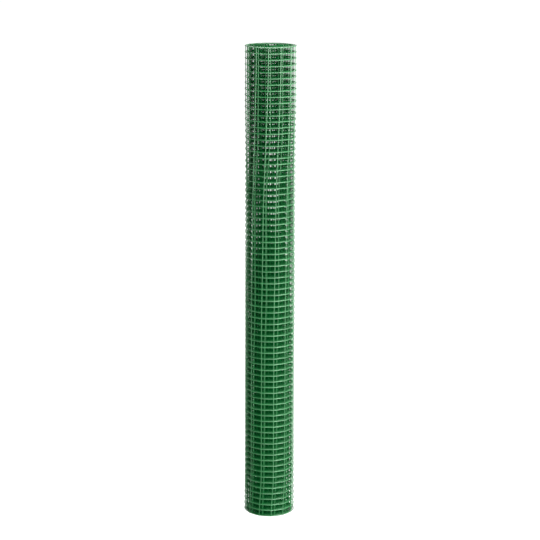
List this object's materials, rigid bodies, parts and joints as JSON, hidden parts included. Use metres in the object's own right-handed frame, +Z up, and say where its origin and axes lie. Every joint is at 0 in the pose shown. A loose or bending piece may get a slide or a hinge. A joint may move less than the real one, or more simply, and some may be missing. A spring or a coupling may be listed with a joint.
{
  "type": "roll of wire fencing",
  "caption": "Tall slim roll of green plastic-coated welded wire mesh, wound on itself round an open bore and standing on its end; stock for light fences and cages.",
  "frame": {"origin": "on the axis of the bore, on the floor that the roll stands on", "axes": "+Z up the roll along its bore; the picture was taken from -Y, a little from above, so +X is to its right"},
  "size_m": [0.1072, 0.1053, 1.0176],
  "materials": {
    "green_coated_wire": "glossy green plastic coat on steel wire"
  },
  "bodies": {
    "root": {"mesh_roll": "green_coated_wire"}
  },
  "joints": []
}
